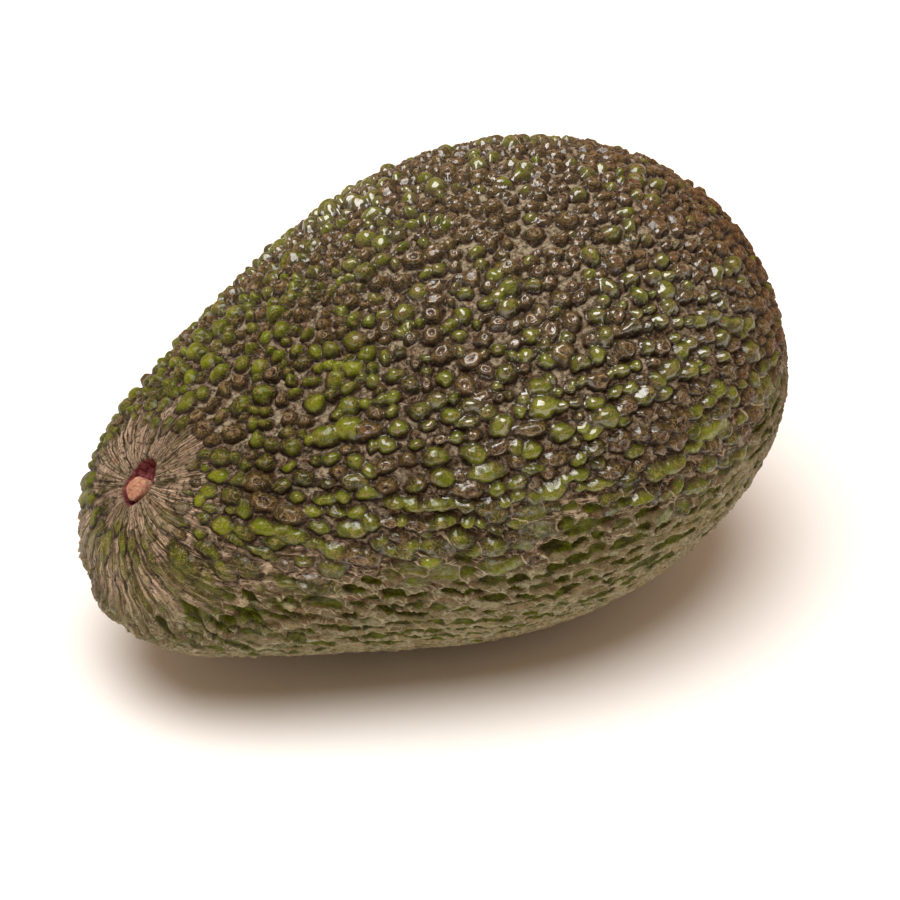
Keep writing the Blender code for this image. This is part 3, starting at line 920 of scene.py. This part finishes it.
def skin_material():
    """The whole skin: pebbles, the skin between them, green lenses below and the wine-red pit."""
    material, graph, shader = new_material("pebbled_skin")
    place = graph.node("ShaderNodeTexCoord").outputs["Object"]
    grain = graph.node("ShaderNodeAttribute", attribute_name="grain").outputs["Vector"]
    marks = {name: attribute(graph, name) for name in SKIN_MARKS}
    base = valley_colour(graph, place, grain, marks)

    ragged = graph.product(graph.math("SUBTRACT", graph.noise(grain, LENS_EDGES), 0.5), 0.5)
    pooled = graph.ramp(graph.math("ADD", marks["lens"], ragged), 0.10, 0.34)
    dark_leaf = mottled(graph, place, FLANK_MOTTLE, DEEP_OLIVE, LEAF_GREEN)
    base = graph.mix(graph.product(pooled, 0.92), base, dark_leaf)
    long_folded = graph.ramp(marks["folded"], 0.15, 0.70)
    trough = graph.product(graph.ramp(marks["crest"], 0.60, 0.20), long_folded,
                           graph.patches(grain, TROUGH_BREAKS, 0.34, 0.54, detail=2.0))
    base = graph.mix(graph.product(trough, 0.80), base, dark_leaf)
    lit_crest = graph.product(graph.ramp(marks["crest"], 0.86, 1.0),
                              graph.ramp(marks["folded"], 0.25, 0.80),
                              graph.patches(grain, CREST_BREAKS, 0.38, 0.56, detail=2.0))
    base = graph.mix(graph.product(lit_crest, 0.55), base, PALE_NET_AND_LIT_EDGE)

    uneven = graph.product(graph.math("SUBTRACT", graph.noise(place, PEBBLE_EDGES), 0.5), 0.55)
    standing = graph.ramp(graph.math("ADD", marks["edge"], uneven), -0.03, 0.16)
    standing = graph.product(standing, marks["stands"],
                             graph.ramp(marks["collar"], 0.5, 1.0, 1.0, 0.4),
                             graph.ramp(marks["folded"], 0.3, 0.9, 1.0, 0.60))
    # Painted shade: each pebble darkens towards its edge.
    shade = graph.ramp(marks["edge"], 0.0, 0.50, 0.55, 0.0)
    pebble = graph.mix(shade, pebble_colour(graph, place, marks), DARK_BROWN)
    base = graph.mix(standing, base, pebble)
    # Painted shadow: a dark ring round each pebble's foot, strongest on its lower side.
    foot = graph.math("ABSOLUTE", graph.math("ADD", marks["edge"], 0.02))
    foot = graph.product(graph.ramp(foot, 0.03, 0.30, 0.90, 0.0), marks["stands"],
                         graph.ramp(marks["below"], -0.3, 0.5, 0.42, 1.0),
                         graph.ramp(marks["low"], 0.1, 0.7, 1.0, 0.25))
    base = graph.mix(foot, base, DARK_BROWN)
    threads = graph.product(graph.ramp(marks["net"], 0.84, 1.0), marks["stands"],
                            graph.ramp(marks["edge"], -0.50, -0.15),
                            graph.patches(place, NET_BREAKS, 0.36, 0.54, detail=2.0),
                            graph.ramp(marks["low"], 0.0, 0.25))
    base = graph.mix(graph.product(threads, 0.85), base, PALE_THREAD)
    flesh = mottled(graph, place, FLESH_MOTTLE, WINE, ROSE_FLESH, -0.03)
    base = graph.mix(graph.ramp(marks["hollow"], 0.12, 0.55), base, flesh)

    height = use_group(graph, GRAIN, Vector=place, Size=0.00050, Wrinkles=2.0)["Height"]
    streak_height = use_group(graph, GRAIN, Vector=grain, Size=0.00045, Wrinkles=2.5)["Height"]
    streaked = graph.math("MAXIMUM", marks["collar"], marks["low"])
    streaked = graph.ramp(streaked, 0.1, 0.8, 0.25, 1.0)
    height = graph.math("ADD", height, graph.product(streak_height, streaked))
    height = graph.product(height, graph.ramp(standing, 0.2, 0.9, 1.0, 0.70))
    grit = graph.noise(place, GRIT, 2.0, 0.5)
    height = graph.math("ADD", height, graph.product(grit, 0.30))
    turns = graph.product(graph.math("SINE", graph.product(marks["ring"], CRATER_TURNS)), standing,
                          graph.ramp(marks["dried"], 0.05, 0.6))
    height = graph.math("ADD", height, graph.product(turns, 0.09))
    bump = graph.node("ShaderNodeBump", {"Height": height, **SKIN_BUMP})
    dull = graph.patches(place, DULL_PATCHES, 0.35, 0.7, 0.36, 0.60, detail=2.0)
    waxed = graph.patches(place, WAX_PATCHES, 0.34, 0.54, 0.20)
    smooth_bead = graph.product(graph.ramp(marks["side"], 0.1, 0.9, 1.0, 0.40),
                                graph.ramp(marks["dried"], 0.0, 0.4, 1.0, 0.50))
    crinkle = graph.patches(place, CRINKLES, 0.42, 0.58, 0.05, roughness=0.6)
    waxed = graph.product(waxed, graph.math("MAXIMUM", smooth_bead, crinkle))
    waxed = graph.product(waxed, graph.ramp(marks["dry"], 0.4, 1.0, 1.0, 0.90),
                          graph.ramp(marks["side"], 0.2, 1.0, 1.0, 0.70),
                          graph.ramp(marks["blossom"], 0.1, 0.9, 1.0, 0.28),
                          graph.ramp(marks["girth"], 0.05, 0.9, 0.12, 1.0))
    glossy = graph.math("MAXIMUM", standing, graph.product(marks["folded"], marks["crest"], 0.35))
    glossy = graph.product(glossy, waxed, graph.ramp(marks["hollow"], 0.0, 0.5, 1.0, 0.0))
    plug(graph, shader, Base_Color=base, Roughness=dull, Normal=bump.outputs[0],
         IOR=SKIN_IOR, Specular_IOR_Level=SKIN_SPECULAR, Coat_Weight=glossy,
         Coat_Roughness=WAX_ROUGHNESS, Coat_IOR=WAX_IOR)
    return material


def stub_material():
    """Torn stem: salmon fibres with straw-coloured streaks."""
    material, graph, shader = new_material("torn_stem")
    place = graph.node("ShaderNodeTexCoord").outputs["Object"]
    colour = mottled(graph, place, STUB_MOTTLE, SALMON, STRAW)
    shade = graph.patches(place, STUB_SHADE, 0.40, 0.62, 0.55, 0.0)
    colour = graph.mix(shade, colour, TORN_SHADE)
    height = use_group(graph, GRAIN, Vector=place, Size=0.00030, Wrinkles=1.5)["Height"]
    bump = graph.node("ShaderNodeBump", {"Height": height, **STUB_BUMP})
    plug(graph, shader, Base_Color=colour, Roughness=0.82, Normal=bump.outputs[0])
    return material


# Torn stub of stem: its radius, height and place on the pit's floor
STUB_RADIUS = 0.00155
STUB_HEIGHT = 0.0023
STUB_OFFSET = 0.00105
STUB_SIDES = 40
STUB_RINGS = 14
STUB_SHOULDER = 0.62
STUB_GAP = 0.00015


def build_stub():
    """A torn plug with a fibrous broken top, standing on the pit's floor."""
    levels = [(1.0, share) for share in np.linspace(0.0, STUB_SHOULDER, STUB_RINGS)]
    crown = [(math.cos(turn) ** 0.8, STUB_SHOULDER + (1.0 - STUB_SHOULDER) * math.sin(turn))
             for turn in np.linspace(0.15, math.pi / 2 - 0.05, STUB_RINGS)]
    mesh = bpy.data.meshes.new("stem_stub_torn")
    shape = bmesh.new()
    rings = []
    for radius, height in levels + crown:
        ring = []
        for side in range(STUB_SIDES):
            angle = 2.0 * math.pi * side / STUB_SIDES
            spot = Vector((math.cos(angle) * radius, math.sin(angle) * radius, height))
            fibre = noise.noise(Vector((spot.x * 5.5, spot.y * 5.5, 2.2)))
            tear = noise.noise(Vector((spot.x * 2.2, spot.y * 2.2, 7.5)))
            swell = 1.0 + 0.20 * noise.noise(Vector((spot.x * 1.6, spot.y * 1.6, height * 1.6)))
            raised = height + (0.13 * fibre + 0.22 * tear) * height * height
            place = Vector((spot.x * swell, spot.y * swell * 1.08, raised))
            scale = (STUB_RADIUS, STUB_RADIUS, STUB_HEIGHT)
            ring.append(shape.verts.new([a * b for a, b in zip(place, scale)]))
        rings.append(ring)
    for low, high in zip(rings, rings[1:]):
        for side in range(STUB_SIDES):
            following = (side + 1) % STUB_SIDES
            shape.faces.new((low[side], low[following], high[following], high[side]))
    shape.faces.new(rings[0][::-1])
    shape.faces.new(rings[-1])
    bmesh.ops.recalc_face_normals(shape, faces=shape.faces)
    floor_depth = PIT_DEPTH + DIMPLE_DEPTH - STUB_GAP
    foot = PIT_PLACE - floor_depth * PIT_NORMAL - STUB_OFFSET * PIT_UPHILL
    axes = Matrix((PIT_SIDE, PIT_UPHILL, PIT_NORMAL)).transposed().to_4x4()
    shape.transform(Matrix.Translation(foot) @ axes)
    shape.to_mesh(mesh)
    shape.free()
    mesh.shade_smooth()
    mesh.materials.append(stub_material())
    return new_object("stem_stub_torn", mesh)


def build_skin(pebbles):
    """The whole skin, raised by the relief tree, then parted into pieces that meet exactly."""
    values = {
        "Pebble Height": 0.00190, "Valley Depth": 0.00078, "Lens Depth": 0.00100,
        "Net Height": 0.00042, "Ridge Height": 0.00014, "Ridge Width": 0.0036,
        "Fold Height": 0.00060, "Long Fold Height": 0.00105, "Grain Height": 0.00080,
        "Grain Size": 0.0014, "Sag": 0.00060, "Floor Clearance": FLOOR_CLEARANCE,
        "Material": skin_material()}
    carrier, quads, sides = skin_carrier(pebbles)
    whole = grow("whole_skin", carrier, relief_tree(), values)
    parts = [part_of_skin("skin_" + name, whole, quads[sides == number], SKIN_MARKS)
             for number, name in enumerate(SKIN_PARTS)]
    bpy.data.meshes.remove(whole)
    return parts


def look_along(place, forward):
    """World matrix of a lamp at place that shines towards forward."""
    turn = Vector(forward).to_track_quat("-Z", "Y").to_matrix().to_4x4()
    return Matrix.Translation(place) @ turn


def add_lamp():
    """One large soft disc, almost overhead."""
    elevation, azimuth = LAMP_ELEVATION, LAMP_AZIMUTH
    direction = Vector((math.cos(elevation) * math.cos(azimuth),
                        math.cos(elevation) * math.sin(azimuth), math.sin(elevation)))
    light = bpy.data.lights.new("soft_lamp", "AREA")
    light.shape = "DISK"
    light.size = LAMP_SIZE
    light.energy = LAMP_POWER
    light.color = LAMP_COLOUR
    lamp = new_object("soft_lamp", light)
    lamp.matrix_world = look_along(LAMP_DISTANCE * direction, -direction)


def add_stage():
    """White table and a warm white room."""
    material, graph, shader = new_material("white_table")
    place = graph.node("ShaderNodeTexCoord").outputs["Object"]
    cloud = graph.patches(place, TABLE_CLOUDS, 0.3, 0.7)
    plug(graph, shader, Roughness=0.7, Base_Color=graph.mix(cloud, TABLE_WHITE, TABLE_SHADE))
    mesh = bpy.data.meshes.new("table")
    corners = [(-1.0, -1.0), (1.0, -1.0), (1.0, 1.0), (-1.0, 1.0)]
    places = [(TABLE_HALF * x, TABLE_HALF * y, 0.0) for x, y in corners]
    mesh.from_pydata(places, [], [(0, 1, 2, 3)])
    mesh.materials.append(material)
    new_object("table", mesh)

    add_lamp()
    world = bpy.data.worlds.new("warm_room")
    world.use_nodes = True
    background = world.node_tree.nodes["Background"]
    background.inputs["Color"].default_value = ROOM_COLOUR
    bpy.context.scene.world = world
    bpy.context.scene.view_settings.view_transform = "Standard"


def add_camera():
    """A long lens at the photo's angle, placed from the body's middle."""
    azimuth, elevation = CAMERA_AZIMUTH, CAMERA_ELEVATION
    back = Vector((math.sin(azimuth) * math.cos(elevation),
                   -math.cos(azimuth) * math.cos(elevation), math.sin(elevation)))
    right = Vector((math.cos(azimuth), math.sin(azimuth), 0.0))
    up = back.cross(right)
    cosine, sine = math.cos(CAMERA_ROLL), math.sin(CAMERA_ROLL)
    right, up = cosine * right + sine * up, cosine * up - sine * right
    place = Vector(BODY_ORIGIN) + CAMERA_DISTANCE * back
    place = place + CAMERA_SIDESTEP * right + CAMERA_LIFT * up
    data = bpy.data.cameras.new("camera")
    data.sensor_width = SENSOR_WIDTH
    data.lens = SENSOR_WIDTH * FOCAL_PIXELS / PHOTO_PIXELS
    data.clip_start = 0.01
    camera = new_object("camera", data)
    axes = Matrix((right, up, back)).transposed().to_4x4()
    camera.matrix_world = Matrix.Translation(place) @ axes
    bpy.context.scene.camera = camera


def main():
    """Dress the fruit and the stub, then set the stage, the light and the camera."""
    # Noise vectors take their offsets from this seed, and from the clock without it
    noise.seed_set(SEED)
    rng = np.random.default_rng(SEED)
    parts = build_skin(scatter_pebbles(rng))
    stub = build_stub()
    for part in parts:
        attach(part, "root")
        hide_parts("fruit")
    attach(stub, "root")
    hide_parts("stem_stub")
    add_stage()
    add_camera()


main()
